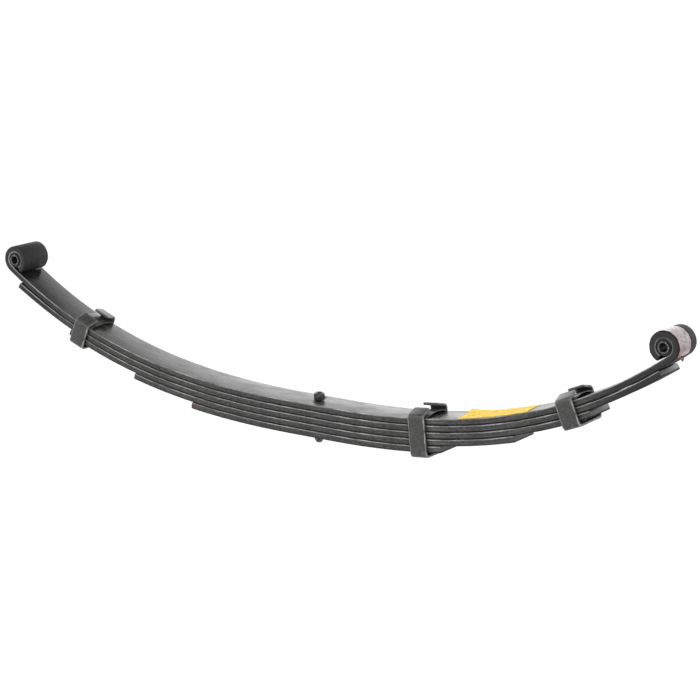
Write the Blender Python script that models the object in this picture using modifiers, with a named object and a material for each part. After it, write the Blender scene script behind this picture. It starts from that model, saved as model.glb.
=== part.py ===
"""Semi-elliptic leaf spring: five clamped leaves, two rolled eyes with rubber bushes, three rebound clips.

Frame: +X along the spring towards the shackle-side eye, +Y across the leaves, +Z up. The origin is the
centre of the centre bolt head's end face, which drops into the axle pad. All sizes are in metres.
"""

import math

import bmesh
import bpy
from mathutils import Matrix, Vector

# Leaves
LEAF_WIDTH = 0.0635
LEAF_THICKNESS = 0.0109
LEAF_PITCH = 0.0115
LEAF_CHAMFER = 0.0012
LEAF_STATIONS = 30
SEAT_HALF_LENGTH = 0.045

# Rise of each arm beyond the flat seat, as coefficients of the distance squared, cubed and to the fourth
LEFT_CAMBER = (0.240, 0.172, 0.217)
RIGHT_CAMBER = (0.260, 0.195, 0.228)

# Reach of each leaf to the left (-X) and to the right (+X) of the centre bolt
LEAF_REACH = {
    "second_leaf": (0.630, 0.637),
    "third_leaf": (0.511, 0.518),
    "fourth_leaf": (0.366, 0.385),
    "fifth_leaf": (0.242, 0.253),
}
TIP_STANDOFF = {"left": 0.0028, "right": 0.0}
STANDOFF_START = 0.50

# Rolled eyes of the main leaf
EYE_REACH = {"left": 0.6566, "right": 0.6592}
EYE_INNER_RADIUS = 0.0140
EYE_SWEEP_DEG = 299.0
EYE_STATIONS = 22

# Bushes
SLEEVE_BORE_RADIUS = 0.00715
SLEEVE_OUTER_RADIUS = 0.0099
SLEEVE_HALF_LENGTH = LEAF_WIDTH / 2 + 0.0016
RUBBER_HALF_LENGTH = LEAF_WIDTH / 2 - 0.0006
RIB_HEIGHT = 0.0008
FIT_GAP = 0.0003

# Centre bolt and nut
BOLT_RADIUS = 0.0055
BOLT_HEAD_RADIUS = 0.0080
BOLT_HEAD_END_RADIUS = 0.0045
BOLT_HEAD_HEIGHT = 0.0160
BOLT_HEAD_RIM = 0.0095
NUT_ACROSS_FLATS = 0.0160
NUT_HEIGHT = 0.0125
BOLT_PROUD_OF_NUT = 0.0020
LEAF_HOLE_RADIUS = 0.0059

# Rebound clips: centre along the spring, leaves held, and the leaf that carries the rivet
CLIPS = {
    "left_clip": (-0.490, 3),
    "middle_clip": (0.2155, 5),
    "right_clip": (0.486, 3),
}
STRAP_WIDTH = 0.0310
STRAP_THICKNESS = 0.0046
STRAP_SIDE_GAP = 0.0016
STRAP_BEND_RADIUS = 0.0035
STRAP_FRONT_RISE = 0.0030
STRAP_REAR_RISE = 0.0075
FRONT_FLAP = (0.021, 0.0075)
REAR_FLAP = (0.024, 0.0055)
LINER_THICKNESS = 0.0016
LINER_BOW = 0.0022
LINER_OVERHANG = 0.0030
RIVET_RADIUS = 0.0075
RIVET_HEIGHT = 0.0040

# Label on the main leaf and tape round the right eye
LABEL_SPAN = (0.292, 0.419)
LABEL_WIDTH = 0.0615
LABEL_THICKNESS = 0.0005
TAPE_RADIUS_GAP = 0.0004
TAPE_THICKNESS = 0.0006
TAPE_Y = (-LEAF_WIDTH / 2 + 0.0025, LEAF_WIDTH / 2 - 0.0225)
TAPE_ARC_DEG = (20.0, 292.0)

# Flexing arms: distance of each arm's pivot from the centre bolt
ARM_PIVOT_X = 0.160

ROUND_SEGMENTS = 32
MERGE_DISTANCE = 0.00001
SEAT_HEIGHT = BOLT_HEAD_HEIGHT
MAIN_TOP = SEAT_HEIGHT + 4 * LEAF_PITCH + LEAF_THICKNESS

COLOURS = {
    "black_paint": ((0.030, 0.030, 0.032, 1.0), 0.42, 0.0),
    "clip_paint": ((0.040, 0.040, 0.040, 1.0), 0.48, 0.0),
    "black_oxide": ((0.020, 0.020, 0.020, 1.0), 0.40, 0.8),
    "rubber": ((0.012, 0.012, 0.012, 1.0), 0.70, 0.0),
    "sleeve_steel": ((0.070, 0.070, 0.072, 1.0), 0.40, 0.8),
    "label_yellow": ((0.850, 0.560, 0.050, 1.0), 0.45, 0.0),
    "amber_tape": ((0.550, 0.480, 0.430, 1.0), 0.20, 0.0),
}


def clear_scene():
    """Remove every object that the file starts with."""
    for item in list(bpy.data.objects):
        bpy.data.objects.remove(item, do_unlink=True)


def new_collection(name):
    collection = bpy.data.collections.new(name)
    bpy.context.scene.collection.children.link(collection)
    return collection


def dress(obj, finish):
    """Give an object its own Principled material in the named finish."""
    colour, roughness, metallic = COLOURS[finish]
    material = bpy.data.materials.new(f"{obj.name}_{finish}")
    material.use_nodes = True
    shader = material.node_tree.nodes["Principled BSDF"]
    shader.inputs["Base Color"].default_value = colour
    shader.inputs["Roughness"].default_value = roughness
    shader.inputs["Metallic"].default_value = metallic
    obj.data.materials.append(material)


def object_from_bmesh(name, mesh_builder, collection, finish=None):
    mesh = bpy.data.meshes.new(name)
    mesh_builder.to_mesh(mesh)
    mesh_builder.free()
    obj = bpy.data.objects.new(name, mesh)
    collection.objects.link(obj)
    if finish:
        dress(obj, finish)
    return obj


def camber(x):
    """Height of the main leaf's top over its seat, at x along the spring from the centre bolt."""
    run = max(abs(x) - SEAT_HALF_LENGTH, 0.0)
    square, cube, fourth = LEFT_CAMBER if x < 0 else RIGHT_CAMBER
    return square * run**2 + cube * run**3 + fourth * run**4


def slope(x):
    step = 0.0005
    return math.atan((camber(x + step) - camber(x - step)) / (2 * step))


def leaf_frame(x):
    """Point on the main leaf's top surface at x, with its unit tangent (towards +X) and unit normal (up)."""
    angle = slope(x)
    point = Vector((x, 0.0, MAIN_TOP + camber(x)))
    tangent = Vector((math.cos(angle), 0.0, math.sin(angle)))
    normal = Vector((-math.sin(angle), 0.0, math.cos(angle)))
    return point, tangent, normal


def eye_centre(side):
    sign = -1 if side == "left" else 1
    point, tangent, normal = leaf_frame(sign * EYE_REACH[side])
    return point + normal * EYE_INNER_RADIUS, tangent * sign, normal


def spread(start, end, count):
    return [start + (end - start) * i / (count - 1) for i in range(count)]


def eye_arc(side, radius, angles_deg):
    """Points round an eye: angle 0 is under the eye, and it grows outwards, over the top and back in."""
    centre, outward, normal = eye_centre(side)
    points = []
    for degrees in angles_deg:
        turn = math.radians(degrees)
        points.append(centre + outward * (radius * math.sin(turn)) - normal * (radius * math.cos(turn)))
    return points


def strip(name, path, y_low, y_high, collection, finish):
    """An open ribbon along a path in the XZ plane, its faces pointing up where the path runs towards +X."""
    builder = bmesh.new()
    first = builder.verts.new((path[0].x, y_low, path[0].z))
    previous = first
    near_edges = []
    for point in path[1:]:
        vertex = builder.verts.new((point.x, y_low, point.z))
        near_edges.append(builder.edges.new((previous, vertex)))
        previous = vertex
    extruded = bmesh.ops.extrude_edge_only(builder, edges=near_edges)
    moved = [item for item in extruded["geom"] if isinstance(item, bmesh.types.BMVert)]
    bmesh.ops.translate(builder, verts=moved, vec=(0.0, y_high - y_low, 0.0))
    seat = max(builder.faces, key=lambda face: face.calc_area())
    seat.normal_update()
    if seat.normal.z < 0:
        bmesh.ops.reverse_faces(builder, faces=builder.faces[:])
    return object_from_bmesh(name, builder, collection, finish)


def thicken(obj, thickness, outwards, chamfer, segments=1):
    """Solidify a ribbon to one side of its faces, then break its long edges."""
    solidify = obj.modifiers.new("thickness", "SOLIDIFY")
    solidify.thickness = thickness
    solidify.offset = 1.0 if outwards else -1.0
    solidify.use_even_offset = True
    bevel = obj.modifiers.new("broken_edges", "BEVEL")
    bevel.width = chamfer
    bevel.segments = segments
    bevel.limit_method = "ANGLE"
    bevel.angle_limit = math.radians(50)


def cut(obj, cutter):
    boolean = obj.modifiers.new("hole", "BOOLEAN")
    boolean.operation = "DIFFERENCE"
    boolean.object = cutter


def cylinder_cutter(name, radius, low, high, collection):
    builder = bmesh.new()
    bmesh.ops.create_cone(
        builder, cap_ends=True, segments=ROUND_SEGMENTS, radius1=radius, radius2=radius, depth=high - low,
        matrix=Matrix.Translation((0.0, 0.0, (low + high) / 2)),
    )
    cutter = object_from_bmesh(name, builder, collection)
    cutter.hide_render = True
    cutter.display_type = "WIRE"
    return cutter


def turned(name, profile, collection, finish):
    """A solid of revolution about local Z. The profile runs down the outer side, from top to bottom."""
    builder = bmesh.new()
    verts = [builder.verts.new((radius, 0.0, height)) for radius, height in profile]
    for upper, lower in zip(verts, verts[1:]):
        builder.edges.new((upper, lower))
    if profile[0][0] > 0:
        builder.edges.new((verts[-1], verts[0]))
    obj = object_from_bmesh(name, builder, collection, finish)
    screw = obj.modifiers.new("turning", "SCREW")
    screw.steps = ROUND_SEGMENTS
    screw.render_steps = ROUND_SEGMENTS
    screw.use_merge_vertices = True
    screw.merge_threshold = MERGE_DISTANCE
    screw.use_smooth_shade = True
    return obj


def standoff(x):
    """Gap that opens between the second leaf's free tips and the main leaf."""
    run = max(abs(x) - STANDOFF_START, 0.0) / (LEAF_REACH["second_leaf"][1] - STANDOFF_START)
    return TIP_STANDOFF["left" if x < 0 else "right"] * run**2


def build_main_leaf(collection):
    path = list(reversed(eye_arc("left", EYE_INNER_RADIUS, spread(0.0, EYE_SWEEP_DEG, EYE_STATIONS))))
    half = [
        spread(-EYE_REACH["left"], -SEAT_HALF_LENGTH, LEAF_STATIONS)[1:],
        spread(SEAT_HALF_LENGTH, EYE_REACH["right"], LEAF_STATIONS)[:-1],
    ]
    path += [leaf_frame(x)[0] for x in half[0] + half[1]]
    path += eye_arc("right", EYE_INNER_RADIUS, spread(0.0, EYE_SWEEP_DEG, EYE_STATIONS))
    leaf = strip("main_leaf", path, -LEAF_WIDTH / 2, LEAF_WIDTH / 2, collection, "black_paint")
    thicken(leaf, LEAF_THICKNESS, False, LEAF_CHAMFER)
    return leaf


def build_plain_leaf(name, order, collection):
    """A leaf under the main leaf: the same curve moved down its normals by whole pitches."""
    left, right = LEAF_REACH[name]
    drop = LEAF_PITCH * (order - 1)
    path = []
    for x in spread(-left, -SEAT_HALF_LENGTH, LEAF_STATIONS) + spread(SEAT_HALF_LENGTH, right, LEAF_STATIONS):
        point, _, normal = leaf_frame(x)
        extra = standoff(x) if order == 2 else 0.0
        path.append(point - normal * (drop + extra))
    leaf = strip(name, path, -LEAF_WIDTH / 2, LEAF_WIDTH / 2, collection, "black_paint")
    thicken(leaf, LEAF_THICKNESS, False, LEAF_CHAMFER)
    return leaf


def build_leaves(collection, cutters):
    leaves = [build_main_leaf(collection)]
    for order, name in enumerate(LEAF_REACH, start=2):
        leaves.append(build_plain_leaf(name, order, collection))
    hole = cylinder_cutter("bolt_hole_cutter", LEAF_HOLE_RADIUS, -0.01, MAIN_TOP + 0.01, cutters)
    for leaf in leaves:
        cut(leaf, hole)


def build_centre_bolt(collection, cutters):
    nut_top = MAIN_TOP + FIT_GAP + NUT_HEIGHT
    end = nut_top + BOLT_PROUD_OF_NUT
    under_head = SEAT_HEIGHT - FIT_GAP
    chamfer = 0.0010
    profile = [
        (0.0, end),
        (BOLT_RADIUS - chamfer, end),
        (BOLT_RADIUS, end - chamfer),
        (BOLT_RADIUS, under_head),
        (BOLT_HEAD_RADIUS, under_head),
        (BOLT_HEAD_RADIUS, under_head - BOLT_HEAD_RIM),
        (BOLT_HEAD_END_RADIUS, 0.0),
        (0.0, 0.0),
    ]
    turned("centre_bolt", profile, collection, "black_oxide")

    builder = bmesh.new()
    corner_radius = NUT_ACROSS_FLATS / 2 / math.cos(math.pi / 6)
    bmesh.ops.create_cone(
        builder, cap_ends=True, segments=6, radius1=corner_radius, radius2=corner_radius, depth=NUT_HEIGHT,
        matrix=Matrix.Translation((0.0, 0.0, nut_top - NUT_HEIGHT / 2)),
    )
    rims = [edge for edge in builder.edges if abs(edge.verts[0].co.z - edge.verts[1].co.z) < MERGE_DISTANCE]
    bmesh.ops.bevel(builder, geom=rims, offset=0.0012, affect="EDGES", segments=1, profile=0.5, material=-1)
    nut = object_from_bmesh("centre_nut", builder, collection, "black_oxide")
    thread = cylinder_cutter(
        "nut_bore_cutter", BOLT_RADIUS + FIT_GAP, MAIN_TOP - 0.01, nut_top + 0.01, cutters
    )
    cut(nut, thread)


def bend(corner, before, after, radius, steps=4):
    """Arc that rounds a corner between two directions, as (y, height) points."""
    corner, before, after = Vector(corner), Vector(before), Vector(after)
    incoming = (corner - before).normalized()
    outgoing = (after - corner).normalized()
    half_turn = incoming.angle(outgoing) / 2
    reach = radius * math.tan(half_turn)
    start = corner - incoming * reach
    finish = corner + outgoing * reach
    points = []
    for i in range(steps + 1):
        share = i / steps
        points.append(start.lerp(corner, share).lerp(corner.lerp(finish, share), share))
    return points


def strap_outline(held_leaves):
    """Inner line of a clip strap across the spring, from the front flap's tip round to the rear flap's."""
    wall = LEAF_WIDTH / 2 + STRAP_SIDE_GAP
    depth = LEAF_PITCH * (held_leaves - 1) + LEAF_THICKNESS + RIVET_HEIGHT
    front_tip = (-wall + FRONT_FLAP[0], STRAP_FRONT_RISE + FRONT_FLAP[1])
    rear_tip = (wall - REAR_FLAP[0], STRAP_REAR_RISE + REAR_FLAP[1])
    corners = [
        front_tip,
        (-wall, STRAP_FRONT_RISE),
        (-wall, -depth),
        (wall, -depth),
        (wall, STRAP_REAR_RISE),
        rear_tip,
    ]
    line = [Vector(corners[0])]
    for before, corner, after in zip(corners, corners[1:], corners[2:]):
        line += bend(corner, before, after, STRAP_BEND_RADIUS)
    line.append(Vector(corners[-1]))
    return line


def clip_matrix(x):
    """Local frame of a clip: X along the leaf, Y across it, Z along its normal, origin on its top surface."""
    point, tangent, normal = leaf_frame(x)
    across = Vector((0.0, 1.0, 0.0))
    return Matrix.Translation(point) @ Matrix((tangent, across, normal)).transposed().to_4x4()


def ribbon_across(name, line, half_length, place, collection, finish):
    """A ribbon whose line lies across the spring and whose width runs along it."""
    builder = bmesh.new()
    previous = builder.verts.new((-half_length, line[0].x, line[0].y))
    edges = []
    for point in line[1:]:
        vertex = builder.verts.new((-half_length, point.x, point.y))
        edges.append(builder.edges.new((previous, vertex)))
        previous = vertex
    extruded = bmesh.ops.extrude_edge_only(builder, edges=edges)
    moved = [item for item in extruded["geom"] if isinstance(item, bmesh.types.BMVert)]
    bmesh.ops.translate(builder, verts=moved, vec=(2 * half_length, 0.0, 0.0))
    obj = object_from_bmesh(name, builder, collection, finish)
    obj.matrix_world = place
    return obj


def build_clip(name, x, held_leaves, collection):
    place = clip_matrix(x)
    strap = ribbon_across(
        f"{name}_strap", strap_outline(held_leaves), STRAP_WIDTH / 2, place, collection, "clip_paint"
    )
    base = max(strap.data.polygons, key=lambda face: face.area)
    thicken(strap, STRAP_THICKNESS, base.normal.z < 0, 0.0008)

    half_width = LEAF_WIDTH / 2 - 0.002
    lift = FIT_GAP
    bowed = []
    for share in spread(-1.0, 1.0, 9):
        bowed.append(Vector((half_width * share, lift + LINER_BOW * (1 - share**2))))
    liner = ribbon_across(
        f"{name}_liner", bowed, STRAP_WIDTH / 2 + LINER_OVERHANG, place, collection, "clip_paint"
    )
    upwards = liner.data.polygons[0].normal.z > 0
    thicken(liner, LINER_THICKNESS, upwards, 0.0003)

    under = LEAF_PITCH * (held_leaves - 1) + LEAF_THICKNESS
    dome = RIVET_HEIGHT - 2 * FIT_GAP
    profile = [
        (0.0, 0.0),
        (RIVET_RADIUS * 0.75, 0.0),
        (RIVET_RADIUS, -dome * 0.3),
        (RIVET_RADIUS, -dome),
        (0.0, -dome),
    ]
    rivet = turned(f"{name}_rivet", profile, collection, "clip_paint")
    rivet.matrix_world = place @ Matrix.Translation((0.0, 0.0, -under - FIT_GAP))


def turned_about_y(name, profile, centre, parent, collection, finish):
    obj = turned(name, profile, collection, finish)
    obj.parent = parent
    obj.matrix_parent_inverse = Matrix.Identity(4)
    obj.rotation_euler = (math.radians(90), 0.0, 0.0)
    obj.location = centre - parent.location
    return obj


def empty_at(name, location, collection):
    empty = bpy.data.objects.new(name, None)
    empty.location = location
    collection.objects.link(empty)
    return empty


def build_bush(side, arm, collection):
    """Rubber bush and inner sleeve of one eye. The sleeve's origin lies on its own twist axis."""
    centre = eye_centre(side)[0]
    outer = EYE_INNER_RADIUS - FIT_GAP
    inner = SLEEVE_OUTER_RADIUS + FIT_GAP
    length = RUBBER_HALF_LENGTH
    rib_radius = (outer + inner) / 2
    rubber_profile = [
        (inner, length - 2 * RIB_HEIGHT),
        (rib_radius, length),
        (outer, length - 2 * RIB_HEIGHT),
        (outer, -length + 2 * RIB_HEIGHT),
        (rib_radius, -length),
        (inner, -length + 2 * RIB_HEIGHT),
    ]
    turned_about_y(f"{side}_rubber_bush", rubber_profile, centre, arm, collection, "rubber")

    length = SLEEVE_HALF_LENGTH
    sleeve_profile = [
        (SLEEVE_BORE_RADIUS, length),
        (SLEEVE_OUTER_RADIUS, length),
        (SLEEVE_OUTER_RADIUS, -length),
        (SLEEVE_BORE_RADIUS, -length),
    ]
    turned_about_y(f"{side}_inner_sleeve", sleeve_profile, centre, arm, collection, "sleeve_steel")


def build_ends(collection):
    for side, sign in (("left", -1), ("right", 1)):
        pivot, _, normal = leaf_frame(sign * ARM_PIVOT_X)
        arm = empty_at(f"{side}_arm_pivot", pivot - normal * (LEAF_PITCH * 2), collection)
        build_bush(side, arm, collection)


def build_label(collection):
    path = []
    for x in spread(LABEL_SPAN[0], LABEL_SPAN[1], 7):
        point, _, normal = leaf_frame(x)
        path.append(point + normal * FIT_GAP)
    label = strip("yellow_label", path, -LABEL_WIDTH / 2, LABEL_WIDTH / 2, collection, "label_yellow")
    thicken(label, LABEL_THICKNESS, True, 0.0001)


def build_tape(collection):
    radius = EYE_INNER_RADIUS + LEAF_THICKNESS + TAPE_RADIUS_GAP
    path = eye_arc("right", radius, spread(TAPE_ARC_DEG[0], TAPE_ARC_DEG[1], 24))
    tape = strip("eye_tape", path, TAPE_Y[0], TAPE_Y[1], collection, "amber_tape")
    centre = eye_centre("right")[0]
    face = tape.data.polygons[0]
    thicken(tape, TAPE_THICKNESS, face.normal.dot(face.center - centre) > 0, 0.0001)


def build():
    clear_scene()
    parts = new_collection("leaf_spring")
    cutters = new_collection("cutters")
    build_leaves(parts, cutters)
    build_centre_bolt(parts, cutters)
    for name, (x, held_leaves) in CLIPS.items():
        build_clip(name, x, held_leaves, parts)
    build_ends(parts)
    build_label(parts)
    build_tape(parts)


build()
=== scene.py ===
"""Looks of a semi-elliptic leaf spring: painted leaves, rebound clips, bushed eyes, label and tape.

Every size is in metres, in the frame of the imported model: +X along the spring, +Y across it, +Z up.
A leaf or a strap is made as straight bar stock with worked edges, and is then bent onto its line.
"""

from __future__ import annotations

import logging
import math
from collections.abc import Callable
from dataclasses import dataclass, field
from enum import Enum
from functools import partial

import bmesh
import bpy
from mathutils import Matrix, Vector, noise


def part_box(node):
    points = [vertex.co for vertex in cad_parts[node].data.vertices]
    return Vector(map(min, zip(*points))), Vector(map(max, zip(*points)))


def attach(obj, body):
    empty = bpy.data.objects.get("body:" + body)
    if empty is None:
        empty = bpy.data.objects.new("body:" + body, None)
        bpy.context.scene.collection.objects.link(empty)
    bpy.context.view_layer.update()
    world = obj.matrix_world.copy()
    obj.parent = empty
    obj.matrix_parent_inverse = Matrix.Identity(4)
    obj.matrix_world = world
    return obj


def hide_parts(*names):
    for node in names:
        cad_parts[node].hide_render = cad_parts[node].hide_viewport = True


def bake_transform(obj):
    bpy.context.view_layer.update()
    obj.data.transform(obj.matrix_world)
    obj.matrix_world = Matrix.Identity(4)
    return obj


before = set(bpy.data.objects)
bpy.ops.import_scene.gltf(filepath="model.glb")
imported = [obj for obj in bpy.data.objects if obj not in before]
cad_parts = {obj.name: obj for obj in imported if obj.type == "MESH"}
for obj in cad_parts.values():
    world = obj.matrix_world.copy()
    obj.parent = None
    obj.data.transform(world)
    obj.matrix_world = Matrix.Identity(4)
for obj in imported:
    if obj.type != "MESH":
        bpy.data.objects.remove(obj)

LOG = logging.getLogger("leaf_spring")
FIT_GAP = 0.0003
STOCK = "stock"


class Side(Enum):
    """The two arms of the spring, with the sign of X on each."""

    LEFT = -1
    RIGHT = 1

    @property
    def label(self) -> str:
        """Lower-case name used in piece and node names."""
        return self.name.lower()

    @property
    def end_body(self) -> str:
        """Body that carries this arm's eye."""
        return f"{self.label}_eye_end"

    @property
    def sleeve_body(self) -> str:
        """Body of this arm's inner sleeve."""
        return f"{self.label}_sleeve"


# ---------------------------------------------------------------- mesh helpers


def link(name: str, bm: bmesh.types.BMesh, smooth_below_deg: float = 35.0) -> bpy.types.Object:
    """Make an object from a bmesh, with edges sharper than an angle kept crisp.

    Args:
        name: Name of the piece.
        bm: Finished bmesh, which is freed.
        smooth_below_deg: Faces that meet at less than this angle are shaded as one surface.

    Returns:
        The new object, at the origin.
    """
    mesh = bpy.data.meshes.new(name)
    bm.to_mesh(mesh)
    bm.free()
    mesh.shade_smooth()
    mesh.set_sharp_from_angle(angle=math.radians(smooth_below_deg))
    obj = bpy.data.objects.new(name, mesh)
    bpy.context.scene.collection.objects.link(obj)
    return obj


def block(low: Vector, high: Vector) -> bmesh.types.BMesh:
    """Make a rectangular block between two corners.

    Args:
        low: Lowest corner.
        high: Highest corner.

    Returns:
        A new bmesh.
    """
    bm = bmesh.new()
    size = high - low
    place = Matrix.Translation((low + high) / 2) @ Matrix.Diagonal((*size, 1.0))
    bmesh.ops.create_cube(bm, size=1.0, matrix=place)
    return bm


def round_edges(
    bm: bmesh.types.BMesh,
    wanted: Callable[[bmesh.types.BMEdge], bool],
    radius: float,
    segments: int,
) -> None:
    """Round the edges that a test picks.

    Args:
        bm: Mesh to change.
        wanted: Test for an edge.
        radius: Width of the rounding.
        segments: Steps across it.
    """
    edges = [edge for edge in bm.edges if wanted(edge)]
    bmesh.ops.bevel(
        bm,
        geom=edges,
        offset=radius,
        offset_type="OFFSET",
        affect="EDGES",
        segments=segments,
        profile=0.5,
        material=-1,
        clamp_overlap=True,
    )


def runs_along(edge: bmesh.types.BMEdge, axis: int) -> bool:
    """Whether an edge lies along one axis."""
    step = edge.verts[1].co - edge.verts[0].co
    return abs(step[axis]) > 0.99 * step.length


def slice_along(bm: bmesh.types.BMesh, axis: int, places: list[float]) -> None:
    """Cut a bar across at a list of places, so that it can be bent.

    Args:
        bm: Mesh to cut.
        axis: Axis that the bar lies along.
        places: Where the cuts go on that axis.
    """
    normal = Vector((0.0, 0.0, 0.0))
    normal[axis] = 1.0
    for place in places:
        geom = [*bm.verts, *bm.edges, *bm.faces]
        bmesh.ops.bisect_plane(bm, geom=geom, dist=1e-7, plane_co=normal * place, plane_no=normal)


def steps(start: float, end: float, pitch: float) -> list[float]:
    """Evenly spaced places between two ends, which are left out.

    Args:
        start: First end.
        end: Last end.
        pitch: Largest spacing.

    Returns:
        The places in between.
    """
    count = max(1, math.ceil(abs(end - start) / pitch))
    return [start + (end - start) * i / count for i in range(1, count)]


def keep_stock_places(bm: bmesh.types.BMesh) -> None:
    """Note where each point lies on the straight bar, for finishes that follow it when it is bent.

    Args:
        bm: Mesh of the straight bar.
    """
    layer = bm.verts.layers.float_vector.new(STOCK)
    for vert in bm.verts:
        vert[layer] = vert.co


def bend(bm: bmesh.types.BMesh, place: Callable[[Vector], Vector]) -> None:
    """Move every point of straight stock onto its bent line.

    Args:
        bm: Mesh to bend.
        place: Gives a point's new place from its place on the stock.
    """
    for vert in bm.verts:
        vert.co = place(vert.co)
    bmesh.ops.recalc_face_normals(bm, faces=bm.faces)


def thicken(obj: bpy.types.Object, thickness: float, offset: float) -> None:
    """Give a sheet its thickness.

    Args:
        obj: The sheet.
        thickness: Its thickness.
        offset: 1 to grow it outwards, -1 to grow it inwards.
    """
    film = obj.modifiers.new("film", "SOLIDIFY")
    film.thickness = thickness
    film.offset = offset


def turned(
    name: str, profile: list[tuple[float, float]], place: Matrix, segments: int = 72
) -> bpy.types.Object:
    """Turn a closed or axis-to-axis profile about local Z.

    Args:
        name: Name of the piece.
        profile: Points as (radius, height).
        place: Where local space goes.
        segments: Steps of the full turn.

    Returns:
        The new object.
    """
    bm = bmesh.new()
    verts = [bm.verts.new((radius, 0.0, height)) for radius, height in profile]
    edges = [bm.edges.new(pair) for pair in zip(verts, verts[1:])]
    if profile[0][0] > 0:
        edges.append(bm.edges.new((verts[-1], verts[0])))
    bmesh.ops.spin(
        bm,
        geom=[*verts, *edges],
        cent=(0, 0, 0),
        axis=(0, 0, 1),
        angle=math.tau,
        steps=segments,
        use_merge=True,
    )
    bmesh.ops.remove_doubles(bm, verts=bm.verts, dist=1e-6)
    bmesh.ops.recalc_face_normals(bm, faces=bm.faces)
    bmesh.ops.transform(bm, matrix=place, verts=bm.verts)
    keep_stock_places(bm)
    return link(name, bm)


def fillet(corner: tuple[float, float], before: tuple[float, float], after: tuple[float, float],
           radius: float, count: int = 5) -> list[tuple[float, float]]:
    """Round one corner of a turned profile.

    Args:
        corner: The sharp corner.
        before: Point that the profile comes from.
        after: Point that it goes to.
        radius: How far the rounding reaches along each side.
        count: Steps of the rounding.

    Returns:
        Points of the rounding.
    """
    middle = Vector(corner)
    start = middle + (Vector(before) - middle).normalized() * radius
    end = middle + (Vector(after) - middle).normalized() * radius
    points = []
    for i in range(count + 1):
        share = i / count
        point = start.lerp(middle, share).lerp(middle.lerp(end, share), share)
        points.append((point.x, point.y))
    return points


def rounded_profile(
    corners: list[tuple[float, float]], radii: dict[int, float], closed: bool
) -> list[tuple[float, float]]:
    """Round chosen corners of a profile.

    Args:
        corners: Sharp profile.
        radii: Reach of the rounding by corner number.
        closed: Whether the last point joins the first.

    Returns:
        The profile with its roundings.
    """
    made: list[tuple[float, float]] = []
    last = len(corners) - 1
    for i, corner in enumerate(corners):
        inner = closed or 0 < i < last
        if inner and i in radii:
            made += fillet(corner, corners[i - 1], corners[(i + 1) % len(corners)], radii[i])
        else:
            made.append(corner)
    return made


# ---------------------------------------------------------------- materials

Socket = bpy.types.NodeSocket
SMOOTH = {"interpolation_type": "SMOOTHSTEP"}
TIMES = {"operation": "MULTIPLY"}
COLOURS = {"data_type": "RGBA"}
MIXED = 2  # number of a Mix node's colour output


def linear(code: str) -> tuple[float, float, float, float]:
    """Turn an sRGB hex code into a linear colour.

    Args:
        code: Six hex digits after a hash.

    Returns:
        Linear red, green, blue and alpha.
    """
    made = []
    for i in (1, 3, 5):
        value = int(code[i:i + 2], 16) / 255
        made.append(value / 12.92 if value <= 0.04045 else ((value + 0.055) / 1.055) ** 2.4)
    return (*made, 1.0)


def feed(node: bpy.types.Node, inputs: dict[str | int, Socket | float | tuple]) -> None:
    """Set a node's inputs, each to a value or by a link.

    Args:
        node: Node to feed.
        inputs: Value or output socket for each input, by name or number.
    """
    for name, value in inputs.items():
        if isinstance(value, Socket):
            node.id_data.links.new(value, node.inputs[name])
        else:
            node.inputs[name].default_value = value


def add_node(
    tree: bpy.types.NodeTree, kind: str, inputs: dict | None = None, out: str | int = 0, **settings: str
) -> Socket:
    """Add one node with its settings, values and links.

    Args:
        tree: Node tree to add to.
        kind: Blender's node type, without its ShaderNode prefix.
        inputs: Value or output socket for each input, by name or number.
        out: Name or number of the output wanted.
        **settings: Properties of the node.

    Returns:
        The output.
    """
    node = tree.nodes.new(f"ShaderNode{kind}")
    for name, value in settings.items():
        setattr(node, name, value)
    feed(node, inputs or {})
    return node.outputs[out]


def new_material(name: str) -> tuple[bpy.types.Material, bpy.types.NodeTree, bpy.types.Node]:
    """Start a material with only its output and shader.

    Args:
        name: Name of the finish.

    Returns:
        The material, its node tree and its Principled shader.
    """
    material = bpy.data.materials.new(name)
    material.use_nodes = True
    tree = material.node_tree
    return material, tree, tree.nodes["Principled BSDF"]


def stock_axis(tree: bpy.types.NodeTree, axis: str) -> Socket:
    """Read each point's place on the straight stock, along one axis.

    Args:
        tree: Node tree to add to.
        axis: X along a leaf, Y across it, Z up from its top.

    Returns:
        Output in metres.
    """
    places = add_node(tree, "Attribute", out="Vector", attribute_name=STOCK)
    return add_node(tree, "SeparateXYZ", {"Vector": places}, axis)


@dataclass(frozen=True)
class Patches:
    """Irregular patches of a real size that stay put on the stock, from 0 to 1.

    Without a low level they are left soft. With one, they fade in between low and high, and run
    from faint to full.
    """

    size_mm: tuple[float, float, float]
    detail: float = 3.0
    roughness: float = 0.55
    low: float | None = None
    high: float = 1.0
    faint: float = 0.0
    full: float = 1.0

    def add(self, tree: bpy.types.NodeTree) -> Socket:
        """Add the patches to a material.

        Args:
            tree: Node tree to add to.

        Returns:
            Output of the pattern.
        """
        places = add_node(tree, "Attribute", out="Vector", attribute_name=STOCK)
        scale = tuple(1000.0 / size for size in self.size_mm)
        mapped = add_node(tree, "Mapping", {"Vector": places, "Scale": scale})
        levels = {"Vector": mapped, "Scale": 1.0, "Detail": self.detail, "Roughness": self.roughness}
        soft = add_node(tree, "TexNoise", levels)
        if self.low is None:
            return soft
        stretch = {0: soft, 1: self.low, 2: self.high, 3: self.faint, 4: self.full}
        return add_node(tree, "MapRange", stretch, **SMOOTH)


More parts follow.
